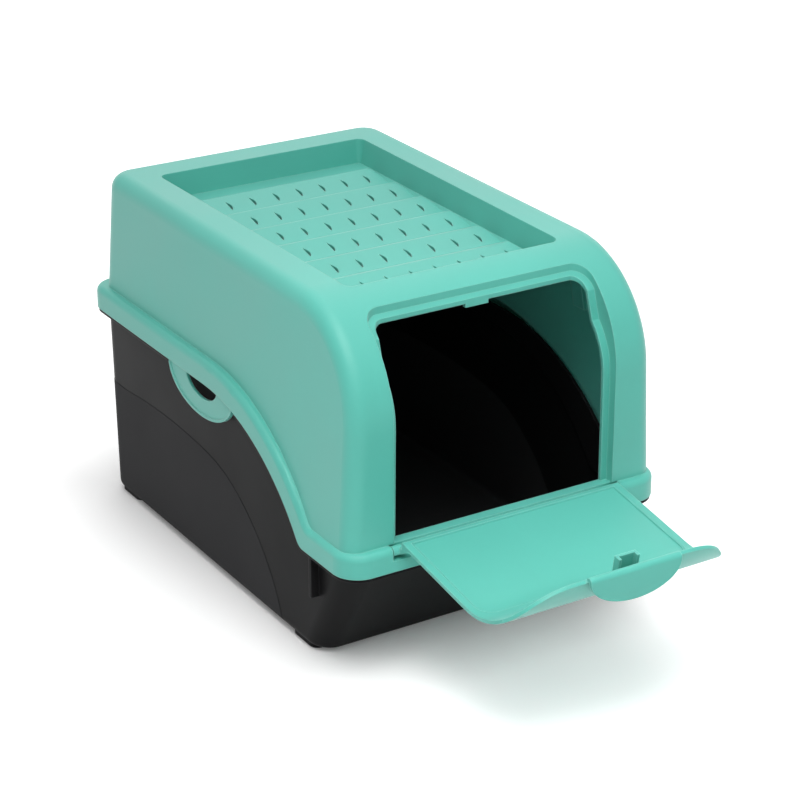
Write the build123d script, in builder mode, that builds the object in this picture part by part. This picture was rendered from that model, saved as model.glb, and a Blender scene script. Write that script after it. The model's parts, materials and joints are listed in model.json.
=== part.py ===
"""Potato storage bin: a dark tub, a lift-off hood with a vented tray in its roof, a front flap
that hinges down as a pouring sill, and two D-shaped side clips. Millimetres, +Z up.

Drawn with the origin on the ground under the centre of the hood's flange, and moved along Y at
export. The doorway faces -Y.
"""
from build123d import *
import os
from math import asin, cos, radians, sin, sqrt, tan

os.makedirs("parts", exist_ok=True)

# ---------------------------------------------------------------- driving dimensions
# Flange: the band at the foot of the hood
flange_length = 361.0
flange_width = 239.6
flange_corner = 18.0
flange_height = 16.0
flange_shoulder = 4.6
flange_skin = 2.4

# Parting line between tub and hood, in side view
rim_high = 142.9          # sides and back
rim_low = 77.4            # front
rim_sweep_radius = 150.0  # the arc that takes the line down to the front
rim_sweep_y = 4.0         # where that arc starts
rim_corner = 9.0

# Hood
hood_height = 242.4
hood_wall = 2.5
hood_roof_inset = 11.0    # the roof's side edges, in from the flange's outline
hood_side_draft = 2.8     # degrees
hood_back_y = 169.4       # at the roof
hood_back_draft = 3.6     # degrees
hood_front_y = -174.5
hood_curve_radius = 72.0  # the front rolls into the roof
hood_foot_corner = 18.0   # plan radius of the back's upright corners
hood_roof_corner = 11.0   # radius of the roof's edge and the front's upright corners

# Tray sunk in the roof
tray_half_back = 81.5
tray_half_front = 79.6
tray_back_y = 138.4
tray_front_y = -113.6
tray_depth = 17.5
tray_corner = 6.0
tray_draft = 10.0         # degrees
ridge_height = 5.0
ridge_pitch = 35.8
ridge_count = 6
ridge_first_y = 108.6
ridge_back_run = 12.3     # from the valley behind a ridge to its top
ridge_half = 72.5         # at the foot of the rounded ends
ridge_end_radius = 4.5
ridge_crest_radius = 5.0
slot_columns = 7
slot_pitch = 18.3
slot_length = 11.0
slot_width = 2.3
slot_offset = 13.2        # in front of the top of each ridge
slot_center_x = 6.0
dimple_length = 5.0       # blind marks one pitch beyond the slots
dimple_depth = 0.5

# Doorway in the hood's front
flap_half = 81.8
flap_side_gap = 1.0
rebate_depth = 6.3
rebate_top_y = -135.2
ledge_radius = 69.6       # the ledge rolls back a little less tightly than the hood
seat_end_y = -153.6       # where the seats of the flap's curl turn back towards the ledge
seat_end_z = 203.0
seat_lean = 18.0          # degrees behind the upright
rebate_corner = 12.0
ledge_foot = 4.6          # width of the ledge at the sill
ledge_head = 5.6          # width of the ledge at the top of the sides
ledge_top = 3.2
ledge_corner = 8.0
tab_width = 17.0
tab_drop = 2.1            # below the inside of the ledge
tab_depth = 3.0
pad_width = 12.0          # upright stiffener inside each side wall
pad_depth = 2.2
pad_y = -99.0
pad_foot_z = 185.0

# Hinge
hinge_y = -176.5
hinge_z = 89.9
barrel_radius = 3.2
barrel_length = 10.0
barrel_overhang = 4.2     # past the side of the flap
pin_radius = 1.9
pin_length = 7.0
pin_gap = 0.08            # radial running fit
pin_end_gap = 0.6
hinge_gap = 0.4
cheek_gap = 1.0           # between barrel and cheek
cheek_length = 8.5
notch_foot = 7.5          # height of the flange left below the hinge

# Flap, open just below level
flap_tilt = 9.15          # degrees below level when open
flap_thickness = 2.4
flap_seat_gap = 0.3
flap_heel = 4.3           # from the hinge axis to the heel of the plate
flap_flat = 73.0
flap_curl_radius = 48.0
flap_curl_angle = 76.0    # degrees
flap_taper_start = 64.0
flap_taper = 48.0         # how much each side draws in along the curl
flap_taper_power = 3.1    # 2 would be a quarter ellipse, more is squarer
flap_taper_split = 108.0  # beyond this the outline is cut square to the curl
flap_taper_overlap = 3.0
flap_cut_angle = 60.0     # degrees round the curl
flap_border = 5.0
flap_panel_length = 84.0
flap_panel_corner = 12.0
flap_panel_depth = 0.6
web_length = 5.6
web_reach = 9.5
tongue_half = 33.0
tongue_length = 17.6
tongue_drop = 80.0        # degrees below the plane of the plate
tongue_bend = 0.6
catch_width = 15.0
catch_rise = 4.2          # above the crest of the curl
catch_back = 8.0          # behind the crest
catch_arm = 5.0
catch_thickness = 1.8

# Tub
tub_wall = 2.4
tub_inset_top = 6.8       # from the flange's outline
tub_inset_foot = 8.2
tub_front_foot_y = -129.0
tub_corner = 16.0
tub_foot_round = 6.0
tub_floor_z = 2.2
lip_thickness = 2.5
lip_inset = 0.8
sweep_gap = 0.3           # between the curved stretches of lip and flange
spigot_inset = 10.6       # the rim that stands up inside the hood
spigot_wall = 2.2
spigot_high = 153.4
spigot_low = 90.4
spigot_sweep_radius = 169.0
spigot_sweep_y = -10.0
panel_rise = 0.25         # the plain panel round the tub's sides and back
panel_sweep = [(140, 87), (101, 90), (38, 89), (-7, 81.5), (-36, 66), (-63, 40), (-81, 8)]
panel_foot_run = 2.0
fin_y = -130.5
fin_thickness = 3.0
fin_reach = 6.4
fin_foot_z = 46.0
foot_length = 30.0
foot_width = 16.0
foot_corner = 6.0
foot_half_span = 101.0
foot_back_y = 150.0
foot_front_y = -104.0

# Side clips
clip_center_y = 11.5
clip_half = 45.0
clip_drop = 25.0
clip_hole_y = 10.5
clip_hole_half = 21.5
clip_hole_drop = 12.0
clip_inset = 0.5          # border's face in from the flange's face
clip_border = 1.8
clip_border_rise = 0.7
clip_thickness = 2.0
clip_seam = 0.6           # between clip and flange
clip_pivot_rise = 3.1     # above the parting line
clip_pivot_inset = 4.9    # in from the flange's face
clip_barrel_radius = 1.9
clip_barrel_half = 40.0
clip_web_length = 14.0
clip_web_thickness = 2.5
clip_web_drop = 9.0
clip_web_gap = 0.5        # between web and flange skin
clip_pin_radius = 1.1
clip_pin_length = 3.6
clip_pin_gap = 0.06
clip_boss_length = 4.5
clip_boss_gap = 0.4
clip_boss_depth = 4.5
clip_boss_skin = 1.4
clip_notch_gap = 1.5

# ---------------------------------------------------------------- dependent sizes
flange_half = flange_width / 2
hood_roof_half = flange_half - hood_roof_inset
flange_back_y = flange_length / 2
flange_front_y = -flange_length / 2
rim_sweep_z = rim_high - rim_sweep_radius
curve_y = hood_front_y + hood_curve_radius
curve_z = hood_height - hood_curve_radius
sill_z = rim_low + flange_height
rebate_half = flap_half + flap_side_gap
ledge_y = hood_front_y + rebate_depth
ledge_curve_y = ledge_y + ledge_radius
seat_radius = flap_curl_radius - flap_seat_gap
seat_curve_y = ledge_y + seat_radius
seat_curve_z = hinge_z + flap_heel + flap_flat
tray_floor_z = hood_height - tray_depth
barrel_end = flap_half + barrel_overhang
notch_half = barrel_end + cheek_gap
notch_y = hinge_y + barrel_radius + hinge_gap
notch_foot_z = rim_low + notch_foot
flap_seat = ledge_y - flap_seat_gap - hinge_y      # inner face of the plate above the hinge axis
flap_curl_end = flap_flat + flap_curl_radius * radians(flap_curl_angle)
crest_reach = flap_heel + flap_flat + flap_curl_radius * sin(radians(flap_curl_angle))
crest_rise = flap_seat + flap_curl_radius * (1 - cos(radians(flap_curl_angle)))
tub_half_top = flange_half - tub_inset_top
tub_half_foot = flange_half - tub_inset_foot
clip_face_x = flange_half - clip_inset
clip_pivot_x = flange_half - clip_pivot_inset
clip_pivot_z = rim_high + clip_pivot_rise
far = 400.0               # longer than any part of the bin
below = -50.0


# ---------------------------------------------------------------- shared outlines
def rounded_block(inset, low, high):
    """The flange's outline in plan, drawn in by inset and stretched from low to high."""
    with BuildPart() as block:
        with BuildSketch(Plane.XY.offset(low)):
            RectangleRounded(flange_width - 2 * inset, flange_length - 2 * inset, flange_corner - inset)
        extrude(amount=high - low)
    return block.part


def above_line(lift, gap=0.0):
    """Everything above the parting line, lifted by lift. With a gap, only the curved stretch drops by it."""
    radius = rim_sweep_radius + lift - gap
    high = rim_high + lift
    low = rim_low + lift
    meet_y = rim_sweep_y - sqrt(radius**2 - (low - rim_sweep_z) ** 2)
    mid = radians(25)
    sweep_mid = (rim_sweep_y - radius * sin(mid), rim_sweep_z + radius * cos(mid))
    with BuildPart() as upper:
        with BuildSketch(Plane.YZ) as side:
            with BuildLine():
                Polyline((far, high), (rim_sweep_y + 12, high), (rim_sweep_y, high - gap))
                ThreePointArc((rim_sweep_y, high - gap), sweep_mid, (meet_y, low))
                Polyline((meet_y, low), (-far, low), (-far, far), (far, far), (far, high))
            make_face()
            corner = side.vertices().sort_by_distance((0, meet_y, low))[0]
            fillet(corner, rim_corner)
        extrude(amount=far / 2, both=True)
    return upper.part


def hood_half(z):
    """Half width of the hood's outside at height z."""
    return hood_roof_half + (hood_height - z) * tan(radians(hood_side_draft))


def hood_back(z):
    """How far back the hood's outside reaches at height z."""
    return hood_back_y + (hood_height - z) * tan(radians(hood_back_draft))


def hood_form(inset):
    """Solid with the hood's outer shape, drawn in by inset on every side."""
    top = hood_height - inset
    front = hood_front_y + inset
    half_top = hood_half(top) - inset
    half_foot = hood_half(below) - inset
    back_top = hood_back(top) - inset
    back_foot = hood_back(below) - inset
    roll_mid = (hood_curve_radius - inset) * sin(radians(45))
    with BuildPart() as form:
        with BuildSketch(Plane.XZ):
            Polygon((-half_foot, below), (half_foot, below), (half_top, top), (-half_top, top), align=None)
        extrude(amount=far / 2, both=True)
        with BuildSketch(Plane.YZ):
            with BuildLine():
                Polyline((curve_y, top), (back_top, top), (back_foot, below), (front, below),
                         (front, curve_z))
                ThreePointArc((front, curve_z), (curve_y - roll_mid, curve_z + roll_mid), (curve_y, top))
            make_face()
        extrude(amount=far / 2, both=True, mode=Mode.INTERSECT)
        back_edges = form.edges().filter_by(lambda e: e.center().Y > 0 and abs(e.tangent_at(0.5).Z) > 0.9)
        fillet(back_edges, hood_foot_corner - inset)
        rim = form.edges().filter_by(
            lambda e: e.center().Z > below + 1 and abs(e.tangent_at(0.5).X) < 0.99
            and not (e.center().Y > 0 and abs(e.tangent_at(0.5).Z) > 0.9))
        back_rim = form.faces().sort_by(Axis.Z)[-1].edges().sort_by(Axis.Y)[-1]
        fillet(rim + ShapeList([back_rim]), hood_roof_corner - inset)
    return form.part


# ---------------------------------------------------------------- hood
def tray_prism(grow):
    """The tray's outline in the roof, widened by grow, stretched down with drafted walls."""
    with BuildPart() as prism:
        with BuildSketch(Plane.XY.offset(hood_height)) as outline:
            Polygon((-tray_half_front - grow, tray_front_y - grow),
                    (tray_half_front + grow, tray_front_y - grow),
                    (tray_half_back + grow, tray_back_y + grow),
                    (-tray_half_back - grow, tray_back_y + grow), align=None)
            fillet(outline.vertices(), tray_corner + grow)
        extrude(amount=-(tray_depth + ridge_height + hood_wall), taper=tray_draft)
    return prism.part


def above_ridges(drop):
    """Everything above the ridged floor of the tray, lowered by drop. The ridges have rounded ends."""
    valley = tray_floor_z - drop
    top = valley + ridge_height
    tops = [ridge_first_y - ridge_pitch * i for i in range(ridge_count)]
    points = [(tops[0] + ridge_back_run, valley)]
    for top_y in tops:
        points += [(top_y, top), (top_y - ridge_pitch + ridge_back_run, valley)]
    points += [(points[-1][0], valley - 1), (points[0][0], valley - 1)]
    with BuildPart() as ridges:
        with BuildSketch(Plane.YZ) as side:
            Polygon(*points, align=None)
            crests = side.vertices().filter_by_position(Axis.Y, top - 0.1, top + 0.1)
            fillet(crests, ridge_crest_radius - drop / 2)
        extrude(amount=far / 2, both=True)
        with BuildSketch(Plane.XZ) as ends:
            with Locations((0, top)):
                Rectangle(2 * ridge_half + drop, ridge_height + 1, align=(Align.CENTER, Align.MAX))
            fillet(ends.vertices().group_by(Axis.Y)[-1], ridge_end_radius)
        extrude(amount=far / 2, both=True, mode=Mode.INTERSECT)
    with BuildPart() as upper:
        with Locations((0, 0, valley)):
            Box(far, far * 2, far, align=(Align.CENTER, Align.CENTER, Align.MIN))
        add(ridges.part, mode=Mode.SUBTRACT)
    return upper.part


def beyond_curve(center_y, center_z, radius):
    """Everything in front of and above a front that rolls back round this centre line."""
    with BuildPart() as front:
        with BuildSketch(Plane.YZ):
            with Locations((center_y, center_z)):
                Rectangle(far, far * 2, align=(Align.MAX, Align.CENTER))
                Circle(radius, mode=Mode.SUBTRACT)
                Rectangle(radius, far, align=(Align.MAX, Align.MAX), mode=Mode.SUBTRACT)
        extrude(amount=far / 2, both=True)
    return front.part


def rebate_depths(grow):
    """Space in front of the ledge, and in front of the deeper seats of the flap's curl beside the doorway."""
    with BuildPart() as seat:
        add(beyond_curve(seat_curve_y, seat_curve_z, seat_radius - grow))
        with BuildSketch(Plane.YZ):
            foot_y = seat_end_y - (seat_end_z - below) * tan(radians(seat_lean)) + grow
            head_y = seat_end_y + (far - seat_end_z) * tan(radians(seat_lean)) + grow
            Polygon((foot_y, below), (head_y, far), (-far, far), (-far, below), align=None)
        extrude(amount=far / 2, both=True, mode=Mode.INTERSECT)
    return beyond_curve(ledge_curve_y, curve_z, ledge_radius - grow) + seat.part


def door_prism(half, back_y, corner, foot_z):
    """Upright block in front of back_y, with rounded back corners."""
    with BuildPart() as prism:
        with BuildSketch(Plane.XY.offset(foot_z)) as outline:
            with Locations((0, back_y)):
                Rectangle(2 * half, far, align=(Align.CENTER, Align.MAX))
            fillet(outline.vertices().sort_by(Axis.Y)[-2:], corner)
        extrude(amount=far)
    return prism.part


def lens_row(rows, columns, length):
    """Half-lens outlines, straight on the left, at every row and column."""
    with BuildSketch() as lenses:
        for y in rows:
            for x in columns:
                with BuildLine():
                    Line((x, y + length / 2), (x, y - length / 2))
                    ThreePointArc((x, y - length / 2), (x + slot_width, y), (x, y + length / 2))
                make_face()
    return lenses.sketch


hood_outside = hood_form(0)
hood_inside = hood_form(hood_wall)

with BuildPart() as flange_solid:
    add(rounded_block(0, rim_low - 1, hood_height))
    add(above_line(0), mode=Mode.INTERSECT)
    add(above_line(flange_height), mode=Mode.SUBTRACT)
    top_edges = flange_solid.faces().filter_by(lambda f: f.normal_at().Z > 0.05).edges()
    outer_edges = top_edges.filter_by(
        lambda e: abs(e.center().Y) > flange_back_y - 1 or abs(e.tangent_at(0.5).X) < 0.99)
    fillet(outer_edges, flange_shoulder)

with BuildPart() as flange_hollow:
    add(rounded_block(flange_skin, rim_low - 1, hood_height))
    add(above_line(flange_height - flange_skin), mode=Mode.SUBTRACT)

with BuildPart() as tray_shell:
    add(tray_prism(hood_wall))
    add(above_ridges(hood_wall), mode=Mode.INTERSECT)
    add(hood_outside, mode=Mode.INTERSECT)

with BuildPart() as tray_space:
    add(tray_prism(0))
    add(above_ridges(0), mode=Mode.INTERSECT)

with BuildPart() as doorway_frame:
    add(door_prism(rebate_half + hood_wall, rebate_top_y + hood_wall, rebate_corner + hood_wall,
                   sill_z - flange_skin))
    add(rebate_depths(hood_wall), mode=Mode.INTERSECT)
    add(hood_outside, mode=Mode.INTERSECT)

with BuildPart() as rebate:
    add(door_prism(rebate_half, rebate_top_y, rebate_corner, sill_z))
    add(rebate_depths(0), mode=Mode.INTERSECT)

with BuildPart() as opening:
    head_z = curve_z + ledge_radius
    with BuildSketch(Plane.XZ.offset(-rebate_top_y + ledge_top)):
        Polygon((-rebate_half + ledge_foot, sill_z), (rebate_half - ledge_foot, sill_z),
                (rebate_half - ledge_head, head_z), (-rebate_half + ledge_head, head_z), align=None)
    extrude(amount=far)
    back = opening.faces().sort_by(Axis.Y)[-1].edges()
    fillet(back.filter_by(lambda e: abs(e.tangent_at(0.5).Z) > 0.9), ledge_corner)

with BuildPart() as hinge_block:
    with Locations((0, notch_y + flange_skin, sill_z)):
        Box(2 * (notch_half + cheek_length), far, sill_z - notch_foot_z + flange_skin,
            align=(Align.CENTER, Align.MAX, Align.MAX))
    add(flange_solid.part, mode=Mode.INTERSECT)

slot_rows = [ridge_first_y - slot_offset - ridge_pitch * i for i in range(ridge_count)]
slot_lefts = [slot_center_x - slot_width / 2 + slot_pitch * (i - (slot_columns - 1) / 2)
              for i in range(slot_columns)]
slot_outlines = lens_row(slot_rows, slot_lefts, slot_length)
dimple_outlines = lens_row(slot_rows, [slot_lefts[0] - slot_pitch], dimple_length)

with BuildPart() as slots:
    extrude(slot_outlines, amount=far)

with BuildPart() as dimples:
    extrude(dimple_outlines, amount=far)
    add(above_ridges(dimple_depth), mode=Mode.INTERSECT)

with BuildPart() as hood_trim:
    # Tab that hangs from the head of the doorway
    tab_y = rebate_top_y - ledge_top
    tab_top = curve_z + sqrt(ledge_radius**2 - (tab_y - ledge_curve_y) ** 2) - 1.0
    with Locations((0, tab_y, tab_top)):
        Box(tab_width, tab_depth, hood_wall + tab_drop, align=(Align.CENTER, Align.MIN, Align.MAX))
    # Upright stiffener inside each side wall
    with BuildSketch(Plane.XZ.offset(-pad_y - pad_width / 2)):
        with BuildLine():
            pad_top = hood_height - hood_wall / 2
            Polyline((hood_half(pad_foot_z) - hood_wall / 2, pad_foot_z),
                     (hood_half(pad_top) - hood_wall / 2, pad_top),
                     (hood_half(pad_top) - hood_roof_corner, pad_top),
                     (hood_half(pad_foot_z) - hood_wall - pad_depth, pad_foot_z), close=True)
        make_face()
        mirror(about=Plane.YZ)
    extrude(amount=pad_width)
    add(hood_form(hood_wall / 2), mode=Mode.INTERSECT)

with BuildPart() as clip_bosses:
    boss_top = rim_high + flange_height - flange_skin / 2
    boss_start = clip_barrel_half + clip_boss_gap
    for end in (-1, 1):
        boss_y = clip_center_y + end * (boss_start + clip_boss_length / 2)
        with Locations((flange_half - flange_skin / 2, boss_y, boss_top)):
            Box(flange_skin / 2 + clip_boss_depth, clip_boss_length,
                boss_top - clip_pivot_z + clip_pin_radius + clip_boss_skin,
                align=(Align.MAX, Align.CENTER, Align.MAX))
    with Locations(Location((clip_pivot_x, clip_center_y, clip_pivot_z), (90, 0, 0))):
        Cylinder(clip_pin_radius + clip_pin_gap, 2 * (boss_start + clip_boss_length), mode=Mode.SUBTRACT)
    add(flange_solid.part, mode=Mode.INTERSECT)
    mirror(about=Plane.YZ)

with BuildPart() as hood:
    add(hood_outside)
    add(above_line(0), mode=Mode.INTERSECT)
    add(flange_solid.part)
    add(hood_inside, mode=Mode.SUBTRACT)
    add(flange_hollow.part, mode=Mode.SUBTRACT)
    add(tray_shell.part)
    add(tray_space.part, mode=Mode.SUBTRACT)
    add(slots.part, mode=Mode.SUBTRACT)
    add(dimples.part, mode=Mode.SUBTRACT)
    add(doorway_frame.part)
    add(rebate.part, mode=Mode.SUBTRACT)
    add(opening.part, mode=Mode.SUBTRACT)
    add(hood_trim.part)
    add(hinge_block.part)
    with Locations((0, notch_y, notch_foot_z)):
        Box(2 * notch_half, far, sill_z - notch_foot_z, align=(Align.CENTER, Align.MAX, Align.MIN),
            mode=Mode.SUBTRACT)
    with Locations(Location((0, hinge_y, hinge_z), (0, 90, 0))):
        Cylinder(pin_radius + pin_gap, 2 * (barrel_end + pin_length + pin_end_gap), mode=Mode.SUBTRACT)
    add(clip_bosses.part)
hood.part.label = "hood"

# ---------------------------------------------------------------- flap
# Built where it lies open; in its own planes, -y runs from the hinge to the tip and +z is the inner face
tilt = radians(flap_tilt)
hinge_point = (0, hinge_y, hinge_z)
flap_plan = Plane(hinge_point, x_dir=(1, 0, 0), z_dir=(0, -sin(tilt), cos(tilt)))
flap_side = Plane(hinge_point, x_dir=(0, cos(tilt), sin(tilt)), z_dir=(1, 0, 0))


def curl_sheet(skin, thickness, end_angle):
    """Side profile of the plate and its curl, skin below the inner face and thickness deep."""
    top = flap_seat - skin
    bend = -flap_heel - flap_flat
    with BuildSketch(flap_side) as profile:
        with BuildLine():
            Line((-flap_heel, top), (bend, top))
            center = (bend, flap_seat + flap_curl_radius)
            inner = CenterArc(center, flap_curl_radius + skin, -90, -end_angle)
            outer = CenterArc(center, flap_curl_radius + skin + thickness, -90, -end_angle)
            Line(inner @ 1, outer @ 1)
            Polyline((bend, top - thickness), (-flap_heel, top - thickness), (-flap_heel, top))
        make_face()
    return profile.sketch


def side_half(along):
    """Half width of the flap at a distance along its inner face: a squarish quarter ellipse draws it in."""
    share = min(max(along - flap_taper_start, 0) / (flap_curl_end - flap_taper_start), 1)
    return flap_half - flap_taper * (1 - (1 - share**flap_taper_power) ** (1 / flap_taper_power))


def flap_reach(along):
    """How far a distance along the inner face reaches from the heel, seen square to the plate."""
    if along < flap_flat:
        return along
    return flap_flat + flap_curl_radius * sin((along - flap_flat) / flap_curl_radius)


def taper_steps(start, end):
    """Distances from start to end, closer together where the outline turns faster."""
    return [start + (end - start) * sin(radians(15 * i)) for i in range(7)]


def curl_plane(angle):
    """Plane that touches the curl's inner face at this angle, its y axis towards the tip."""
    turn = radians(angle)
    touch = (-flap_heel - flap_flat - flap_curl_radius * sin(turn),
             flap_seat + flap_curl_radius * (1 - cos(turn)))
    origin = flap_side.from_local_coords(touch)
    ahead = flap_side.from_local_coords((touch[0] - cos(turn), touch[1] + sin(turn))) - origin
    return Plane(origin, x_dir=(1, 0, 0), z_dir=Vector(1, 0, 0).cross(ahead))


plate_profile = curl_sheet(0, flap_thickness, flap_curl_angle)
panel_profile = curl_sheet(0, flap_panel_depth, flap_curl_angle / 2)

with BuildPart() as flap_plate:
    extrude(plate_profile, amount=flap_half, both=True)

    with BuildSketch(flap_plan):
        with BuildLine():
            gentle = [(side_half(s), -flap_heel - flap_reach(s))
                      for s in taper_steps(flap_taper_start + 1, flap_taper_split)]
            Spline(*gentle)
            Polyline(gentle[-1], (flap_half, gentle[-1][1]), (flap_half, -far / 2), (0, -far / 2), (0, 20),
                     (flap_half, 20), gentle[0])
        make_face()
        mirror(about=Plane.YZ)
    extrude(amount=far / 2, both=True, mode=Mode.INTERSECT)
    with BuildSketch(curl_plane(flap_cut_angle)):
        with BuildLine():
            middle_arc = radians(flap_cut_angle)
            steep = [(side_half(s), flap_curl_radius * sin((s - flap_flat) / flap_curl_radius - middle_arc))
                     for s in taper_steps(flap_taper_split - flap_taper_overlap, flap_curl_end)]
            Spline(*steep)
            Polyline(steep[-1], (steep[-1][0], 20), (0, 20), (0, -far / 2), (far / 2, -far / 2),
                     (far / 2, steep[0][1]), steep[0])
        make_face()
        mirror(about=Plane.YZ)
    extrude(amount=far / 2, both=True, mode=Mode.INTERSECT)

# Shallow panel in the inner face, which leaves a raised border
with BuildPart() as flap_panel:
    extrude(panel_profile, amount=flap_half, both=True)
    with BuildSketch(flap_plan) as outline:
        with Locations((0, -flap_heel - flap_border / 2)):
            Rectangle(2 * (flap_half - flap_border), flap_panel_length, align=(Align.CENTER, Align.MAX))
        fillet(outline.vertices().group_by(Axis.Y)[0], flap_panel_corner)
    extrude(amount=far / 2, both=True, mode=Mode.INTERSECT)

# Finger tongue: the sheet rolls over the crest and hangs down outside
with BuildPart() as tongue:
    rise = radians(flap_curl_angle)
    heading = (-cos(rise), sin(rise))
    crest = (-crest_reach, crest_rise)
    crest_outside = (crest[0] - flap_thickness * sin(rise), crest[1] - flap_thickness * cos(rise))
    roll = flap_curl_angle + tongue_drop
    with BuildSketch(flap_side):
        with BuildLine():
            near = JernArc(crest, heading, tongue_bend + flap_thickness, roll)
            away = JernArc(crest_outside, heading, tongue_bend, roll)
            near_fall = Line(near @ 1, near @ 1 + (near % 1) * tongue_length)
            away_fall = Line(away @ 1, away @ 1 + (away % 1) * tongue_length)
            Line(crest, crest_outside)
            Line(near_fall @ 1, away_fall @ 1)
        make_face()
    extrude(amount=tongue_half, both=True)
    root = flap_side.from_local_coords(near @ 1)
    fall = flap_side.from_local_coords(near @ 1 + near % 1) - root
    with BuildSketch(Plane(root, x_dir=(1, 0, 0), z_dir=fall.cross(Vector(1, 0, 0)))):
        Ellipse(tongue_half, tongue_length)
        Rectangle(2 * tongue_half, 2 * tongue_length, align=(Align.CENTER, Align.MIN))
    extrude(amount=4 * tongue_bend + flap_thickness, both=True, mode=Mode.INTERSECT)

with BuildPart() as flap_hinge:
    # Barrel at each corner, and the web that carries the plate on it
    with Locations(Location((barrel_end, hinge_y, hinge_z), (0, 90, 0))):
        Cylinder(barrel_radius, barrel_length, align=(Align.CENTER, Align.CENTER, Align.MAX))
    with Locations(Location((barrel_end - barrel_length / 2, hinge_y, hinge_z), (0, 90, 0))):
        Cylinder(pin_radius, barrel_length / 2 + pin_length, align=(Align.CENTER, Align.CENTER, Align.MIN))
    with BuildSketch(flap_side.offset(flap_half - web_length)):
        with BuildLine():
            underside = flap_seat - flap_thickness / 2
            Polyline((0, barrel_radius * 0.9), (-flap_heel, barrel_radius * 0.9), (-flap_heel, underside),
                     (-flap_heel - web_reach, underside), (-barrel_radius * 0.7, -barrel_radius * 0.7),
                     (0, 0), close=True)
        make_face()
    extrude(amount=web_length)
    mirror(about=Plane.YZ)

# Catch: a bracket inside the curl, open towards the tip
with BuildPart() as catch:
    catch_start = -crest_reach + catch_back
    with BuildSketch(flap_side):
        with Locations((catch_start, crest_rise + catch_rise)):
            Rectangle(catch_arm, crest_rise, align=(Align.MAX, Align.MAX))
        with Locations((-flap_heel - flap_flat, flap_seat + flap_curl_radius)):
            Circle(flap_curl_radius + flap_thickness / 2, mode=Mode.INTERSECT)
    extrude(amount=catch_width / 2, both=True)
    with BuildSketch(flap_side):
        with Locations((catch_start - catch_thickness, crest_rise + catch_rise)):
            Rectangle(catch_arm, crest_rise, align=(Align.MAX, Align.MAX))
    extrude(amount=catch_width / 2 - catch_thickness, both=True, mode=Mode.SUBTRACT)

with BuildPart() as flap_door:
    add(flap_plate.part)
    add(flap_panel.part, mode=Mode.SUBTRACT)
    add(tongue.part)
    add(flap_hinge.part)
    add(catch.part)
flap_door.part.label = "flap_door"


# ---------------------------------------------------------------- tub
def tub_form(inset, floor_z):
    """Solid with the tub's outer shape, drawn in by inset, standing on floor_z."""
    top_z = rim_high + 20
    run = flange_front_y + tub_inset_top - tub_front_foot_y
    slant = sqrt(1 + (run / (rim_low - tub_floor_z)) ** 2)
    lean = (tub_inset_foot - tub_inset_top) / rim_high
    half_top = tub_half_top + (rim_high - top_z) * -lean - inset
    half_foot = tub_half_top - (rim_high - floor_z) * lean - inset
    back_top = flange_back_y - tub_inset_top - inset
    back_foot = flange_back_y - tub_inset_foot - inset
    front_top = flange_front_y + tub_inset_top + inset * slant
    front_foot = front_top - run * (rim_low - floor_z) / (rim_low - tub_floor_z)
    with BuildPart() as form:
        with BuildSketch(Plane.XZ):
            Polygon((-half_foot, floor_z), (half_foot, floor_z), (half_top, top_z), (-half_top, top_z),
                    align=None)
        extrude(amount=far / 2, both=True)
        with BuildSketch(Plane.YZ):
            Polygon((back_foot, floor_z), (back_top, top_z), (front_top, top_z), (front_top, rim_low),
                    (front_foot, floor_z), align=None)
        extrude(amount=far / 2, both=True, mode=Mode.INTERSECT)
        upright = form.edges().filter_by(lambda e: abs(e.tangent_at(0.5).Z) > 0.7)
        fillet(upright, tub_corner - inset)
        fillet(form.faces().sort_by(Axis.Z)[0].edges(), tub_foot_round - inset)
    return form.part


spigot_sweep_z = spigot_high - spigot_sweep_radius
tub_outside = tub_form(0, tub_floor_z)
tub_inside = tub_form(tub_wall, tub_floor_z + tub_wall)
panel_skin = tub_form(-panel_rise, tub_floor_z)

with BuildPart() as spigot:
    add(rounded_block(spigot_inset, rim_low - lip_thickness / 2, hood_height))
    add(above_line(-lip_thickness / 2), mode=Mode.INTERSECT)
    meet = spigot_sweep_y - sqrt(spigot_sweep_radius**2 - (spigot_low - spigot_sweep_z) ** 2)
    middle = radians(20)
    with BuildSketch(Plane.YZ):
        with BuildLine():
            Polyline((far, spigot_high), (spigot_sweep_y, spigot_high))
            ThreePointArc((spigot_sweep_y, spigot_high),
                          (spigot_sweep_y - spigot_sweep_radius * sin(middle),
                           spigot_sweep_z + spigot_sweep_radius * cos(middle)), (meet, spigot_low))
            Polyline((meet, spigot_low), (-far, spigot_low), (-far, below), (far, below), (far, spigot_high))
        make_face()
    extrude(amount=far / 2, both=True, mode=Mode.INTERSECT)

with BuildPart() as lip:
    add(rounded_block(lip_inset, rim_low - lip_thickness - 1, hood_height))
    add(above_line(-lip_thickness, sweep_gap), mode=Mode.INTERSECT)
    add(above_line(0, sweep_gap), mode=Mode.SUBTRACT)
    for side in (-1, 1):
        with Locations((side * tub_half_top, clip_center_y, rim_high)):
            Box(far, 2 * (clip_half + clip_notch_gap), clip_drop,
                align=(Align.MIN if side > 0 else Align.MAX, Align.CENTER, Align.CENTER), mode=Mode.SUBTRACT)

with BuildPart() as side_panel:
    add(panel_skin)
    with BuildSketch(Plane.YZ):
        with BuildLine():
            Spline(*panel_sweep)
            foot_y = panel_sweep[-1][0] - panel_foot_run
            Polyline(panel_sweep[-1], (foot_y, below), (far, below), (far, panel_sweep[0][1]), panel_sweep[0])
        make_face()
    extrude(amount=far / 2, both=True, mode=Mode.INTERSECT)

with BuildPart() as rim:
    add(lip.part)
    add(spigot.part)
    add(rounded_block(spigot_inset + spigot_wall, below, hood_height), mode=Mode.SUBTRACT)

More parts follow.
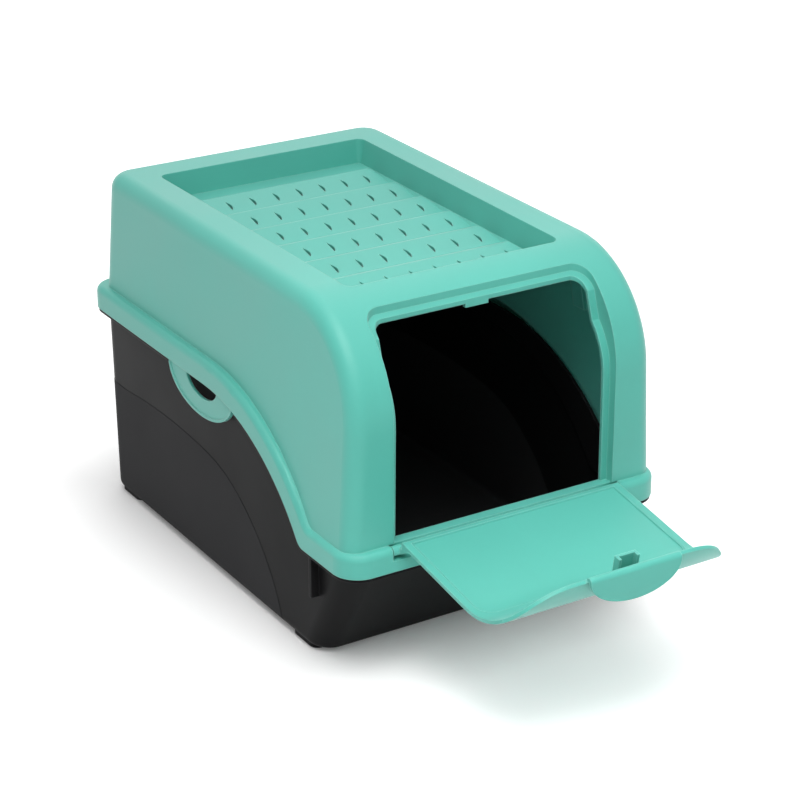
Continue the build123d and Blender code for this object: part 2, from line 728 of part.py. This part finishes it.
with BuildPart() as base_tub:
    add(tub_outside)
    add(side_panel.part)
    add(above_line(-lip_thickness / 2, sweep_gap), mode=Mode.SUBTRACT)
    add(tub_inside, mode=Mode.SUBTRACT)
    add(rim.part)
    for side in (-1, 1):
        with Locations((side * (tub_half_foot - 1), fin_y, fin_foot_z)):
            Box(fin_reach + 1, fin_thickness, rim_low - lip_thickness / 2 - fin_foot_z,
                align=(Align.MIN if side > 0 else Align.MAX, Align.CENTER, Align.MIN))
    with BuildSketch(Plane.XY):
        for y in (foot_front_y, foot_back_y):
            with Locations((foot_half_span, y), (-foot_half_span, y)):
                RectangleRounded(foot_width, foot_length, foot_corner)
    extrude(amount=tub_floor_z + tub_wall / 2)
base_tub.part.label = "base_tub"


# ---------------------------------------------------------------- side clips
def side_ellipse(center_y, half, drop, face_x, depth):
    """Half-moon that hangs under the parting line, from face_x inwards by depth."""
    with BuildPart() as moon:
        with BuildSketch(Plane.YZ.offset(face_x)):
            with Locations((center_y, rim_high)):
                Ellipse(half, drop)
        extrude(amount=-depth)
        add(above_line(-clip_seam), mode=Mode.SUBTRACT)
    return moon.part


clip_depth = clip_border_rise + clip_thickness
border_ring = side_ellipse(clip_center_y, clip_half, clip_drop, clip_face_x, clip_depth)
clip_recess = side_ellipse(clip_center_y, clip_half - clip_border, clip_drop - clip_border, clip_face_x,
                           clip_border_rise)
finger_hole = side_ellipse(clip_hole_y, clip_hole_half, clip_hole_drop, clip_face_x, clip_depth)

with BuildPart() as right_clip:
    add(border_ring)
    add(clip_recess, mode=Mode.SUBTRACT)
    web_outer = flange_half - flange_skin - clip_web_gap
    for end in (-1, 1):
        with Locations((web_outer, clip_center_y + end * clip_barrel_half, clip_pivot_z)):
            Box(clip_web_thickness, clip_web_length, clip_web_drop,
                align=(Align.MAX, Align.MAX if end > 0 else Align.MIN, Align.MAX))
    add(finger_hole, mode=Mode.SUBTRACT)
    with Locations(Location((clip_pivot_x, clip_center_y, clip_pivot_z), (90, 0, 0))):
        Cylinder(clip_barrel_radius, 2 * clip_barrel_half)
        Cylinder(clip_pin_radius, 2 * (clip_barrel_half + clip_boss_gap + clip_pin_length))
right_clip.part.label = "right_clip"

with BuildPart() as left_clip:
    add(right_clip.part)
    mirror(about=Plane.YZ, mode=Mode.REPLACE)
left_clip.part.label = "left_clip"


# ---------------------------------------------------------------- export
# The origin is on the floor, under the middle of the bin's length with its flap open
pieces = [base_tub.part, hood.part, flap_door.part, left_clip.part, right_clip.part]
front_end = min(piece.bounding_box().min.Y for piece in pieces)
back_end = max(piece.bounding_box().max.Y for piece in pieces)
origin_y = round((front_end + back_end) / 2, 1)
for piece in pieces:
    export_step(piece.moved(Location((0, -origin_y, 0))), "parts/" + piece.label + ".step")
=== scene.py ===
# %% [markdown]
# # A potato storage bin, dressed for its portrait
# The bin is moulded from polypropylene in two colours: a dark tub that stands on the floor, and a
# pale green-blue hood with a roof tray, a drop-down flap and two side clips. The solids come from
# the CAD model as a fixed frame. This lesson gives them soft moulded edges, plastic that looks like
# plastic, two beads along their rims, and quiet studio light. The first cell loads the frame and
# can read the box of any of its parts.

# %% Setup
import json
from math import cos, radians, sin, sqrt

import bpy
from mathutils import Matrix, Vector


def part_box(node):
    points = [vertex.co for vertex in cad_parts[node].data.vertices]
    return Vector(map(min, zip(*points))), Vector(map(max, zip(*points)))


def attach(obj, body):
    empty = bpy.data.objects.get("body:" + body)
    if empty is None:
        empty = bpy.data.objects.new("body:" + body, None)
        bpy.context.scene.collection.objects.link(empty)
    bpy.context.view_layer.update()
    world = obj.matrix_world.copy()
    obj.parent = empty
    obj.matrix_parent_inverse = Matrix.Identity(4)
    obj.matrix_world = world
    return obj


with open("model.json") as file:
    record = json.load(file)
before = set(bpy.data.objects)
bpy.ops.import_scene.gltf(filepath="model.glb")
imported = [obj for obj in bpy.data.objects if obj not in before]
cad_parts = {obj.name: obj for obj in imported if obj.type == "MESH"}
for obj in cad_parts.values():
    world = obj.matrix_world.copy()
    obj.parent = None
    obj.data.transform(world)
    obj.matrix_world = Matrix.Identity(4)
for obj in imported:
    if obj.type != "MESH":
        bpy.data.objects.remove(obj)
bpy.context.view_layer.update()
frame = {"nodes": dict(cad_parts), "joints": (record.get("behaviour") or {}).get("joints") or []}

# %% [markdown]
# ## The camera
# A long lens from a little over a metre and a half away keeps the upright edges almost parallel,
# which is how small kitchenware is usually shown. A tracking constraint could aim the camera at the
# bin. Two plain angles are simpler to reason about: yaw turns it towards the bin, pitch tips it
# down, and nothing else moves it.

# %% Camera
def place_camera(position, yaw, pitch, lens):
    data = bpy.data.cameras.new("portrait_camera")
    data.sensor_width = 36.0
    data.lens = lens
    data.clip_end = 50.0
    camera = bpy.data.objects.new("portrait_camera", data)
    camera.location = position
    camera.rotation_euler = (radians(90 - pitch), 0, radians(-yaw))
    bpy.context.scene.collection.objects.link(camera)
    bpy.context.scene.camera = camera
    return camera


camera = place_camera((-0.78162, -1.24666, 0.77679), yaw=31.709, pitch=23.717, lens=109.497)
print("camera at", tuple(camera.location), "lens", camera.data.lens)

# %% [markdown]
# ## Helpers for node trees
# A material in Blender is a small network, and the same few steps come up in each: a sum, a value
# moved from one range to another, and a blend of two colours. Each could be wired by hand where it
# is needed. A helper that adds the node, feeds its inputs and hands back its output keeps the
# trees below short enough to read.

# %% Node helpers
def feed(links, socket, value):
    """Give a socket a number, a linear RGB colour, or another node's output."""
    if isinstance(value, (int, float)):
        socket.default_value = value
    elif isinstance(value, tuple):
        socket.default_value = (*value, 1)
    else:
        links.new(value, socket)


def math_node(nodes, links, operation, a, b):
    node = nodes.new("ShaderNodeMath")
    node.operation = operation
    feed(links, node.inputs[0], a)
    feed(links, node.inputs[1], b)
    return node.outputs[0]


def remap(nodes, links, value, from_low, from_high, to_low, to_high):
    """Move a value from one range to another. Past the ends it stays at them."""
    node = nodes.new("ShaderNodeMapRange")
    limits = (("From Min", from_low), ("From Max", from_high), ("To Min", to_low), ("To Max", to_high))
    for socket, limit in limits:
        node.inputs[socket].default_value = limit
    links.new(value, node.inputs["Value"])
    return node.outputs["Result"]


def colour_mix(nodes, links, factor, a, b):
    node = nodes.new("ShaderNodeMix")
    node.data_type = "RGBA"
    for socket, value in (("Factor", factor), ("A", a), ("B", b)):
        feed(links, node.inputs[socket], value)
    return node.outputs["Result"]


print("node helpers:", [helper.__name__ for helper in (feed, math_node, remap, colour_mix)])

# %% [markdown]
# ## The floor
# The floor is a real surface, so that it catches the soft shadow under the bin. Where nothing
# shades it, it should melt into a white background. Stronger lamps would turn it white too, but
# they would bleach the bin. An emission that only camera, mirror and glass rays can see lifts the
# floor to white and throws no light on anything. The lift is weak next to the bin and grows with
# the distance from the tub's foot, so it paints the floor darker round the foot: painted shade on
# top of the lamps' real contact shadow.

# %% Floor
FLOOR_SIZE = 12
FLOOR_DROP = 0.0002                            # keeps the floor from sharing a plane with the feet
FOOT_MIDDLE = (0, 0.0875, 0)
FOOT_HALF = (0.1116, 0.150, 0)
# the weak glow close to the foot is painted shade round the bin
NEAR_LIFT_PAINTED_SHADE = (0.0, 0.085, 0.09, 0.46)           # between 0 and 85 mm away, from 0.09 to 0.46
FAR_LIFT = (0.3, 2.0, 0.0, 0.6)                # between 0.3 and 2 m away, up to 0.6 more


def shown_ray(nodes, links):
    """A value of 1 for the rays that show the background: camera, mirror and glass rays."""
    path = nodes.new("ShaderNodeLightPath")
    either = math_node(nodes, links, "MAXIMUM", path.outputs["Is Camera Ray"], path.outputs["Is Glossy Ray"])
    return math_node(nodes, links, "MAXIMUM", either, path.outputs["Is Transmission Ray"])


def distance_from_foot(nodes, links):
    """How far a point of the floor is from the tub's rectangular foot."""
    value = nodes.new("ShaderNodeTexCoord").outputs["Object"]
    for operation, other in (("SUBTRACT", FOOT_MIDDLE), ("ABSOLUTE", None), ("SUBTRACT", FOOT_HALF),
                             ("MAXIMUM", (0, 0, 0)), ("LENGTH", None)):
        step = nodes.new("ShaderNodeVectorMath")
        step.operation = operation
        links.new(value, step.inputs[0])
        if other:
            step.inputs[1].default_value = other
        value = step.outputs["Value" if operation == "LENGTH" else "Vector"]
    return value


def floor_material(reflectance, near_lift_painted_shade, far_lift):
    """A matt floor. Each lift is a stretch of distance in metres and the glow at its two ends."""
    material = bpy.data.materials.new("studio_floor")
    material.use_nodes = True
    nodes, links = material.node_tree.nodes, material.node_tree.links
    nodes.clear()
    matt = nodes.new("ShaderNodeBsdfDiffuse")
    matt.inputs["Color"].default_value = (reflectance, reflectance, reflectance, 1)
    away = distance_from_foot(nodes, links)
    # weak glow close to the foot: painted shade on the floor round the bin, on top of the lamps' real shadow
    near_glow_painted_shade = remap(nodes, links, away, *near_lift_painted_shade)
    far = remap(nodes, links, away, *far_lift)
    lift = math_node(nodes, links, "ADD", near_glow_painted_shade, far)
    glow = nodes.new("ShaderNodeEmission")
    glow.inputs["Color"].default_value = (1, 1, 1, 1)
    links.new(math_node(nodes, links, "MULTIPLY", shown_ray(nodes, links), lift), glow.inputs["Strength"])
    both = nodes.new("ShaderNodeAddShader")
    links.new(matt.outputs[0], both.inputs[0])
    links.new(glow.outputs[0], both.inputs[1])
    output = nodes.new("ShaderNodeOutputMaterial")
    links.new(both.outputs[0], output.inputs["Surface"])
    return material


bpy.ops.mesh.primitive_plane_add(size=FLOOR_SIZE, location=(0, 0, -FLOOR_DROP))
floor = bpy.context.object
floor.name = "floor"
floor.data.materials.append(floor_material(reflectance=0.88, near_lift_painted_shade=NEAR_LIFT_PAINTED_SHADE, far_lift=FAR_LIFT))
print("floor:", FLOOR_SIZE, "m wide, material", floor.data.materials[0].name)

# %% [markdown]
# ## The white around it
# A studio has pale walls, which light the bin softly from all sides and show as a white background.
# A backdrop mesh could do both, but its light and its look would then be one setting. The world
# takes two strengths instead: a modest one lights the bin, and full white is what the camera and
# the bin's reflections see.

# %% World
def white_light(nodes, strength):
    shader = nodes.new("ShaderNodeBackground")
    shader.inputs["Color"].default_value = (1, 1, 1, 1)
    shader.inputs["Strength"].default_value = strength
    return shader.outputs[0]


def studio_world(room_light, shown_white):
    world = bpy.data.worlds.new("studio_world")
    world.use_nodes = True
    nodes, links = world.node_tree.nodes, world.node_tree.links
    nodes.clear()
    choose = nodes.new("ShaderNodeMixShader")
    links.new(shown_ray(nodes, links), choose.inputs["Fac"])
    links.new(white_light(nodes, room_light), choose.inputs[1])
    links.new(white_light(nodes, shown_white), choose.inputs[2])
    output = nodes.new("ShaderNodeOutputWorld")
    links.new(choose.outputs[0], output.inputs["Surface"])
    return world


bpy.context.scene.world = studio_world(room_light=0.42, shown_white=1.0)
print("world:", bpy.context.scene.world.name)

# %% [markdown]
# ## The lamps
# The roof and the open flap are the brightest faces, the roll between roof and front is brighter
# still, and the two upright sides that show are about equal. One strong lamp would give hard
# shadows, so soft boxes do the work. The key light hangs high on the camera's side of the bin. A
# second box hangs high behind it and a third stands low, opposite the camera: level faces mirror
# them, which gives roof and flap their pale sheen. A weak fill beside the camera reaches into the
# doorway, and a small narrow box close above the flap makes up for the hood, which hides half the
# room from it.

# %% Lamps
def soft_box(name, position, target, size, watts, spread=180):
    """A rectangular lamp that looks at its target. spread is the angle that it shines into."""
    data = bpy.data.lights.new(name, "AREA")
    data.shape = "RECTANGLE"
    data.size, data.size_y = size
    data.energy = watts
    data.spread = radians(spread)
    lamp = bpy.data.objects.new(name, data)
    lamp.location = position
    lamp.rotation_euler = (Vector(target) - Vector(position)).to_track_quat("-Z", "Y").to_euler()
    bpy.context.scene.collection.objects.link(lamp)
    return lamp


lamps = [
    soft_box("key_box", (-0.35, -0.80, 2.20), (0, 0, 0.1), (2.2, 2.2), watts=27),
    soft_box("top_back_box", (0.30, 0.85, 2.00), (0, -0.1, 0.1), (1.4, 1.4), watts=9),
    soft_box("fill_box", (-0.90, -1.40, 0.65), (0, 0, 0.12), (0.8, 0.8), watts=1.3),
    soft_box("low_back_box", (1.10, 1.75, 1.10), (0, 0, 0.15), (2.0, 1.0), watts=4.5),
    soft_box("flap_box", (-0.20, -0.40, 0.85), (0, -0.20, 0.09), (0.4, 0.4), watts=0.32, spread=44),
]
bpy.context.scene.view_settings.view_transform = "Standard"
print("lamps in watts:", {lamp.name: round(lamp.data.energy, 2) for lamp in lamps})

# %% [markdown]
# ## Soft edges, worn and with a painted highlight
# The mould rounds every edge by a fraction of a millimetre, and handling rubs the edges a little
# lighter. The lighter edge colour also paints in the highlight that rounded edges catch. A real
# bevel would multiply the faces of a CAD mesh. A Bevel node instead softens the direction that the
# surface faces, on any mesh and without a single new face. The further that direction turns away
# from the face's own, the nearer is an edge, so the same node also tells where the lighter edge
# colour, part wear and part painted highlight, belongs.

# %% Moulded edges
EDGE_RADIUS = 0.0009
# how strongly the lighter edge colour comes in, and its most; it is wear and also a painted highlight
RUB_AND_HIGHLIGHT_GAIN, RUB_AND_HIGHLIGHT_MOST = 2.4, 0.6


def moulded_edge(nodes, links):
    """The softened direction of the surface, and how much of the lighter edge colour shows: wear and painted
    highlight.
    """
    edge = nodes.new("ShaderNodeBevel")
    edge.samples = 6
    edge.inputs["Radius"].default_value = EDGE_RADIUS
    true_direction = nodes.new("ShaderNodeNewGeometry").outputs["Normal"]
    turn = nodes.new("ShaderNodeVectorMath")
    turn.operation = "DOT_PRODUCT"
    links.new(edge.outputs[0], turn.inputs[0])
    links.new(true_direction, turn.inputs[1])
    bend = math_node(nodes, links, "SUBTRACT", 1.0, turn.outputs["Value"])
    # the lighter edge colour follows the edges: wear, and a painted highlight along them
    rub_and_highlight = math_node(nodes, links, "MINIMUM", math_node(nodes, links, "MULTIPLY", bend, RUB_AND_HIGHLIGHT_GAIN), RUB_AND_HIGHLIGHT_MOST)
    return edge.outputs[0], rub_and_highlight


print("edge radius in metres:", EDGE_RADIUS)

# %% [markdown]
# ## Uneven polish and fine grain
# A moulding is never one flat colour. The plastic cools at its own pace in each place, which leaves
# slow patches in tone and gloss, and the spark-eroded mould prints a very fine grain. Both could be
# painted as images. Noise on the piece's own coordinates has no seams, needs no unwrapping and
# moves with the piece. One slow noise drives the patches, and one fine noise the bump of the grain.

# %% Polish and grain
PATCH_SCALE = 14.0
PATCH_TONE = (0.3, 0.7, 0.97, 1.03)            # noise from, noise to, and the factor on the colour
PATCH_GLOSS = (0.25, 0.75, -0.05, 0.06)        # noise from, noise to, and the change in roughness
GRAIN_STRENGTH = 0.5


def noise(nodes, links, place, scale, detail):
    texture = nodes.new("ShaderNodeTexNoise")
    texture.inputs["Scale"].default_value = scale
    texture.inputs["Detail"].default_value = detail
    links.new(place, texture.inputs["Vector"])
    return texture.outputs["Fac"]


def uneven_polish(nodes, links, place):
    """A factor on the colour and a change in roughness, both in slow patches."""
    patches = noise(nodes, links, place, PATCH_SCALE, detail=4.0)
    return remap(nodes, links, patches, *PATCH_TONE), remap(nodes, links, patches, *PATCH_GLOSS)


def spark_grain(nodes, links, place, direction, grain, depth):
    """The surface's direction with a fine bump, of so many grains per metre and so deep."""
    bump = nodes.new("ShaderNodeBump")
    bump.inputs["Strength"].default_value = GRAIN_STRENGTH
    bump.inputs["Distance"].default_value = depth
    links.new(noise(nodes, links, place, grain, detail=3.0), bump.inputs["Height"])
    links.new(direction, bump.inputs["Normal"])
    return bump.outputs["Normal"]


print("tone factor", PATCH_TONE[2:], "change in roughness", PATCH_GLOSS[2:])

# %% [markdown]
# ## Moulded plastic
# Both plastics of the bin are the same kind of thing: a colour under edges, patches and grain. Each
# could have a tree of its own. One function for both means that a change to the finish reaches the
# whole bin. What is the same all over a piece sits on the shader's own sockets: the strength of its
# mirror, the little light that travels through thin polypropylene, which is subsurface scattering,
# and a sheen that lifts the faces that are seen at a low angle. A piece may also have a panel,
# which is an area with its own colour and roughness.

# %% Moulded plastic
def moulded_plastic(name, colour, rubbed_and_highlight_colour, roughness, grain, grain_depth, specular, scatter=0.0, sheen=0.0,
                    panel=None):
    """Satin polypropylene. Colours are linear RGB, grain is bumps per metre.

    A panel is a dict of colour, roughness and mask, where mask builds a 0 to 1 value from the place.
    """
    material = bpy.data.materials.new(name)
    material.use_nodes = True
    nodes, links = material.node_tree.nodes, material.node_tree.links
    shader = nodes["Principled BSDF"]
    shader.inputs["Specular IOR Level"].default_value = specular
    shader.inputs["Sheen Weight"].default_value = sheen
    shader.inputs["Sheen Roughness"].default_value = 0.4
    shader.inputs["Subsurface Weight"].default_value = scatter
    shader.inputs["Subsurface Radius"].default_value = (0.5, 1.0, 0.9)
    shader.inputs["Subsurface Scale"].default_value = 0.004

    place = nodes.new("ShaderNodeTexCoord").outputs["Object"]
    direction, rub_and_highlight = moulded_edge(nodes, links)
    drift, gloss = uneven_polish(nodes, links, place)
    if panel:
        inside = panel["mask"](nodes, links, place)
        own = colour_mix(nodes, links, inside, colour, panel["colour"])
        level = remap(nodes, links, inside, 0.0, 1.0, roughness, panel["roughness"])
    else:
        own, level = colour, roughness
    tone = nodes.new("ShaderNodeVectorMath")
    tone.operation = "SCALE"
    # the lighter edge colour is mixed in here: worn edges and a painted edge highlight
    links.new(colour_mix(nodes, links, rub_and_highlight, own, rubbed_and_highlight_colour), tone.inputs[0])
    links.new(drift, tone.inputs["Scale"])
    links.new(tone.outputs["Vector"], shader.inputs["Base Color"])
    links.new(math_node(nodes, links, "ADD", gloss, level), shader.inputs["Roughness"])
    links.new(spark_grain(nodes, links, place, direction, grain, grain_depth), shader.inputs["Normal"])
    return material


# the lighter edge colour is partly wear and partly a painted highlight on every edge
hood_plastic = moulded_plastic("hood_plastic", colour=(0.090, 0.462, 0.385), rubbed_and_highlight_colour=(0.34, 0.72, 0.64),
                               roughness=0.46, grain=1500.0, grain_depth=0.00002, specular=0.45, scatter=0.05,
                               sheen=0.3)
print("hood plastic has", len(hood_plastic.node_tree.nodes), "nodes")

# %% [markdown]
# ## The grained panel of the tub
# The tub's sides and back carry a plain panel with a coarser grain, which ends in a long sweep
# towards the front. The step in the solid is too shallow to show by itself. What the eye sees is
# that the panel scatters more light than the polished band round it. The panel could be a second
# material on faces of its own. A float curve that holds the sweep as height against length gives a
# mask with a clean edge on any mesh, so the tub keeps its faces and one material.

# %% Panel mask
SWEEP = [(-0.0153, 0.008), (0.0027, 0.040), (0.0297, 0.066), (0.0587, 0.0815), (0.1037, 0.089),
         (0.1667, 0.090), (0.2057, 0.087)]
SWEEP_TOP = 0.1
PANEL_BLUR = 0.0004


def panel_mask(nodes, links, place):
    """A value of 1 on the panel, which lies behind the sweep's start and under the sweep."""
    parts = nodes.new("ShaderNodeSeparateXYZ")
    links.new(place, parts.inputs[0])
    start, end = SWEEP[0][0], SWEEP[-1][0]
    along = remap(nodes, links, parts.outputs["Y"], start, end, 0.0, 1.0)
    sweep = nodes.new("ShaderNodeFloatCurve")
    curve = sweep.mapping.curves[0]
    points = [((y - start) / (end - start), z / SWEEP_TOP) for y, z in SWEEP]
    curve.points[0].location = points[0]
    curve.points[-1].location = points[-1]
    for point in points[1:-1]:
        curve.points.new(*point)
    sweep.mapping.update()
    links.new(along, sweep.inputs["Value"])
    height = math_node(nodes, links, "MULTIPLY", sweep.outputs[0], SWEEP_TOP)
    below = math_node(nodes, links, "SUBTRACT", height, parts.outputs["Z"])
    under = remap(nodes, links, below, -PANEL_BLUR, PANEL_BLUR, 0.0, 1.0)
    behind = remap(nodes, links, parts.outputs["Y"], start - PANEL_BLUR, start + PANEL_BLUR, 0.0, 1.0)
    return math_node(nodes, links, "MULTIPLY", under, behind)


# the lighter edge colour is partly wear and partly a painted highlight on every edge
tub_plastic = moulded_plastic("tub_plastic", colour=(0.0085, 0.0085, 0.009), rubbed_and_highlight_colour=(0.045, 0.045, 0.048),
                              roughness=0.42, grain=1100.0, grain_depth=0.00005, specular=0.06,
                              panel={"colour": (0.030, 0.030, 0.0315), "roughness": 0.62, "mask": panel_mask})
print("tub plastic has", len(tub_plastic.node_tree.nodes), "nodes, its sweep", len(SWEEP), "points")

# %% [markdown]
# ## Dressing the solids
# The hood, the flap and both clips come from the same green-blue plastic, and the tub from the dark
# one. Each CAD piece is an object with its own list of materials. The list could be edited slot by
# slot, but each piece is one plastic all over, so the list is emptied and gets that one.

# %% Dressing
for node, material in (("hood", hood_plastic), ("flap_door", hood_plastic), ("left_clip", hood_plastic),
                       ("right_clip", hood_plastic), ("base_tub", tub_plastic)):
    part = frame["nodes"][node]
    part.data.materials.clear()
    part.data.materials.append(material)
    print(node, "is", part.data.materials[0].name)

# %% [markdown]
# ## Beads along the rims
# Thin mouldings are stiffened by a bead where they would flutter: round the foot of the hood's
# flange, and round the recess of the flap. A curve with a bevel could draw each one. Both follow a
# path, though, so one Geometry Nodes tree serves them, with the bead's radius and the spacing of
# its points as named inputs. The tree takes a curve, evens out its points, sweeps a small circle
# along it, smooths the shading, and ends as real geometry with its plastic on.

# %% Bead tree
BEAD_SIDES = 10


def bead_tree(material):
    """The tree, and the identifiers of its two sizes, by which a modifier sets them."""
    tree = bpy.data.node_groups.new("bead_along_path", "GeometryNodeTree")
    face = tree.interface
    face.new_socket("Path", in_out="INPUT", socket_type="NodeSocketGeometry")
    radius = face.new_socket("Bead Radius", in_out="INPUT", socket_type="NodeSocketFloat")
    spacing = face.new_socket("Spacing", in_out="INPUT", socket_type="NodeSocketFloat")
    face.new_socket("Bead", in_out="OUTPUT", socket_type="NodeSocketGeometry")
    nodes, links = tree.nodes, tree.links
    start, end = nodes.new("NodeGroupInput"), nodes.new("NodeGroupOutput")
    even = nodes.new("GeometryNodeResampleCurve")
    even.mode = "LENGTH"
    section = nodes.new("GeometryNodeCurvePrimitiveCircle")
    section.inputs["Resolution"].default_value = BEAD_SIDES
    sweep = nodes.new("GeometryNodeCurveToMesh")
    sweep.inputs["Fill Caps"].default_value = True
    smooth = nodes.new("GeometryNodeSetShadeSmooth")
    whole = nodes.new("GeometryNodeRealizeInstances")
    coat = nodes.new("GeometryNodeSetMaterial")
    coat.inputs["Material"].default_value = material
    links.new(start.outputs["Path"], even.inputs["Curve"])
    links.new(start.outputs["Spacing"], even.inputs["Length"])
    links.new(start.outputs["Bead Radius"], section.inputs["Radius"])
    links.new(even.outputs[0], sweep.inputs["Curve"])
    links.new(section.outputs[0], sweep.inputs["Profile Curve"])
    links.new(sweep.outputs[0], smooth.inputs[0])
    links.new(smooth.outputs[0], whole.inputs[0])
    links.new(whole.outputs[0], coat.inputs[0])
    links.new(coat.outputs[0], end.inputs["Bead"])
    return tree, {"radius": radius.identifier, "spacing": spacing.identifier}


bead_group, bead_inputs = bead_tree(hood_plastic)
print("bead tree has", len(bead_group.nodes), "nodes, its inputs are", bead_inputs)

# %% [markdown]
# ## From a path to a bead
# The tree needs a curve to work on, and the bead has to end up as a plain mesh that moves with its
# piece. The curve could stay in the scene with the tree live on it. A finished mesh is safer, since
# it looks the same wherever it goes. So a guide curve carries the tree for a moment, its
# result is copied out as a mesh, and the guide is thrown away.

# %% Bead maker
BEAD_SPACING = 0.0015


def make_bead(name, body, points, radius, tree, inputs):
    """A closed bead along the points, which moves with a body."""
    data = bpy.data.curves.new(name + "_path", "CURVE")
    data.dimensions = "3D"
    path = data.splines.new("POLY")
    path.points.add(len(points) - 1)
    for point, place in zip(path.points, points):
        point.co = (*place, 1)
    path.use_cyclic_u = True
    guide = bpy.data.objects.new(name + "_path", data)
    bpy.context.scene.collection.objects.link(guide)
    modifier = guide.modifiers.new("bead", "NODES")
    modifier.node_group = tree
    modifier[inputs["radius"]] = radius
    modifier[inputs["spacing"]] = BEAD_SPACING
    graph = bpy.context.evaluated_depsgraph_get()
    mesh = bpy.data.meshes.new_from_object(guide.evaluated_get(graph))
    bpy.data.objects.remove(guide)
    bead = bpy.data.objects.new(name, mesh)
    bpy.context.scene.collection.objects.link(bead)
    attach(bead, body)
    return bead


print("bead points are", BEAD_SPACING, "m apart")

# %% [markdown]
# ## The flange's bead
# A bead stiffens the foot of the hood's flange. Seen from above, its path is a rectangle with round
# corners. Seen from the side, it follows the parting line: level at the back, an arc down to the
# front, and a small fillet into the low stretch. The path could be picked from the hood's edges,
# but those are cut up by every feature that meets them. A rule with a few radii gives a clean
# line, and the flange's size and the low stretch are measured on the hood itself.

# %% Flange bead
hood_low, hood_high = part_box("hood")
FLANGE_HALF = ((hood_high.x - hood_low.x) / 2, (hood_high.y - hood_low.y) / 2)
FLANGE_MIDDLE_Y = (hood_low.y + hood_high.y) / 2
FLANGE_CORNER, CORNER_STEPS = 0.018, 8
RIM_HIGH, RIM_LOW = 0.1429, hood_low.z
ARC_RADIUS, ARC_START_Y = 0.150, FLANGE_MIDDLE_Y + 0.004
ARC_FOOT_Y = ARC_START_Y - sqrt(ARC_RADIUS**2 - (RIM_LOW - RIM_HIGH + ARC_RADIUS) ** 2)
FILLET_FRONT = 0.0046
FILLET_BACK = 0.6 * FILLET_FRONT
FLANGE_BEAD_RADIUS = 0.0007


def rim_height(y):
    """Height of the parting line at a distance y."""
    def arc(y):
        drop = min(max(ARC_START_Y - y, 0), ARC_RADIUS)
        return RIM_HIGH - ARC_RADIUS + sqrt(ARC_RADIUS**2 - drop**2)
    low, high = ARC_FOOT_Y - FILLET_FRONT, ARC_FOOT_Y + FILLET_BACK
    if y <= low:
        return RIM_LOW
    if y >= high:
        return arc(y)
    share = (y - low) / (high - low)
    return RIM_LOW + (arc(high) - RIM_LOW) * share**2


def flange_path(inset):
    """Points round the flange's foot, drawn in and raised by inset, so that a bead lies within it."""
    half_x, half_y = FLANGE_HALF[0] - inset, FLANGE_HALF[1] - inset
    corner = FLANGE_CORNER - inset
    plan = []
    for side_x, side_y, turn in ((1, -1, -90), (1, 1, 0), (-1, 1, 90), (-1, -1, 180)):
        for step in range(CORNER_STEPS + 1):
            angle = radians(turn + 90 * step / CORNER_STEPS)
            plan.append((side_x * (half_x - corner) + corner * cos(angle),
                         side_y * (half_y - corner) + corner * sin(angle)))
    path = []
    for (x0, y0), (x1, y1) in zip(plan, plan[1:] + plan[:1]):
        steps = max(1, round(sqrt((x1 - x0) ** 2 + (y1 - y0) ** 2) / BEAD_SPACING))
        for step in range(steps):
            y = y0 + (y1 - y0) * step / steps + FLANGE_MIDDLE_Y
            path.append((x0 + (x1 - x0) * step / steps, y, rim_height(y) + inset))
    return path


flange_bead = make_bead("flange_bead", "hood", flange_path(FLANGE_BEAD_RADIUS), FLANGE_BEAD_RADIUS,
                        bead_group, bead_inputs)
print("flange bead:", len(flange_bead.data.polygons), "faces,", round(RIM_LOW, 4), "to", RIM_HIGH, "m high")

# %% [markdown]
# ## The flap's bead
# A second bead runs round the flap's recess. The flap lies open, a few degrees below level, and
# curls up towards its tip. The path could be drawn flat and shrink-wrapped onto the plate. The
# plate follows a simple rule, though, so the path is laid on it by that rule: distance
# from the hinge and height above it turn into Y and Z. The bead sits inside the recess, so it stays
# clear of the doorway's ledge when the flap closes.

# %% Flap bead
flap_hinge = next(joint for joint in frame["joints"] if joint["name"] == "flap_hinge")
HINGE_Y, HINGE_Z = flap_hinge["pos_m"][1:]
FLAP_TILT = radians(9.15)
FLAP_FACE = 0.0080                             # how far the inner face is above the hinge's axis
CURL_START, CURL_RADIUS = 0.0773, 0.048
RECESS_HALF, RECESS_HEEL, RECESS_TIP, RECESS_CORNER = 0.0768, 0.0068, 0.0908, 0.012
FLAP_BEAD_RADIUS, FLAP_BEAD_SINK = 0.0006, 0.00045


def on_flap(x, along, sink):
    """Point on the open flap's inner face, sunk below it."""
    past = max(along - CURL_START, 0)
    height = FLAP_FACE + CURL_RADIUS - sqrt(CURL_RADIUS**2 - past**2) - sink
    y = HINGE_Y - along * cos(FLAP_TILT) - height * sin(FLAP_TILT)
    z = HINGE_Z - along * sin(FLAP_TILT) + height * cos(FLAP_TILT)
    return x, y, z


def recess_path(inset, sink):
    """Points round the flap's recess, drawn in by inset and sunk into the face."""
    half, heel = RECESS_HALF - inset, RECESS_HEEL + inset
    tip, corner = RECESS_TIP - inset, RECESS_CORNER - inset
    outline = [(-half, heel)]
    for side, turn in ((-1, 180), (1, 90)):
        for step in range(CORNER_STEPS + 1):
            angle = radians(turn - 90 * step / CORNER_STEPS)
            outline.append((side * (half - corner) + corner * cos(angle), tip - corner + corner * sin(angle)))
    outline.append((half, heel))
    return [on_flap(x, along, sink) for x, along in outline]


flap_bead = make_bead("flap_bead", "flap", recess_path(FLAP_BEAD_RADIUS, FLAP_BEAD_SINK), FLAP_BEAD_RADIUS,
                      bead_group, bead_inputs)
print("flap bead:", len(flap_bead.data.polygons), "faces, hinge at y", HINGE_Y, "z", HINGE_Z)
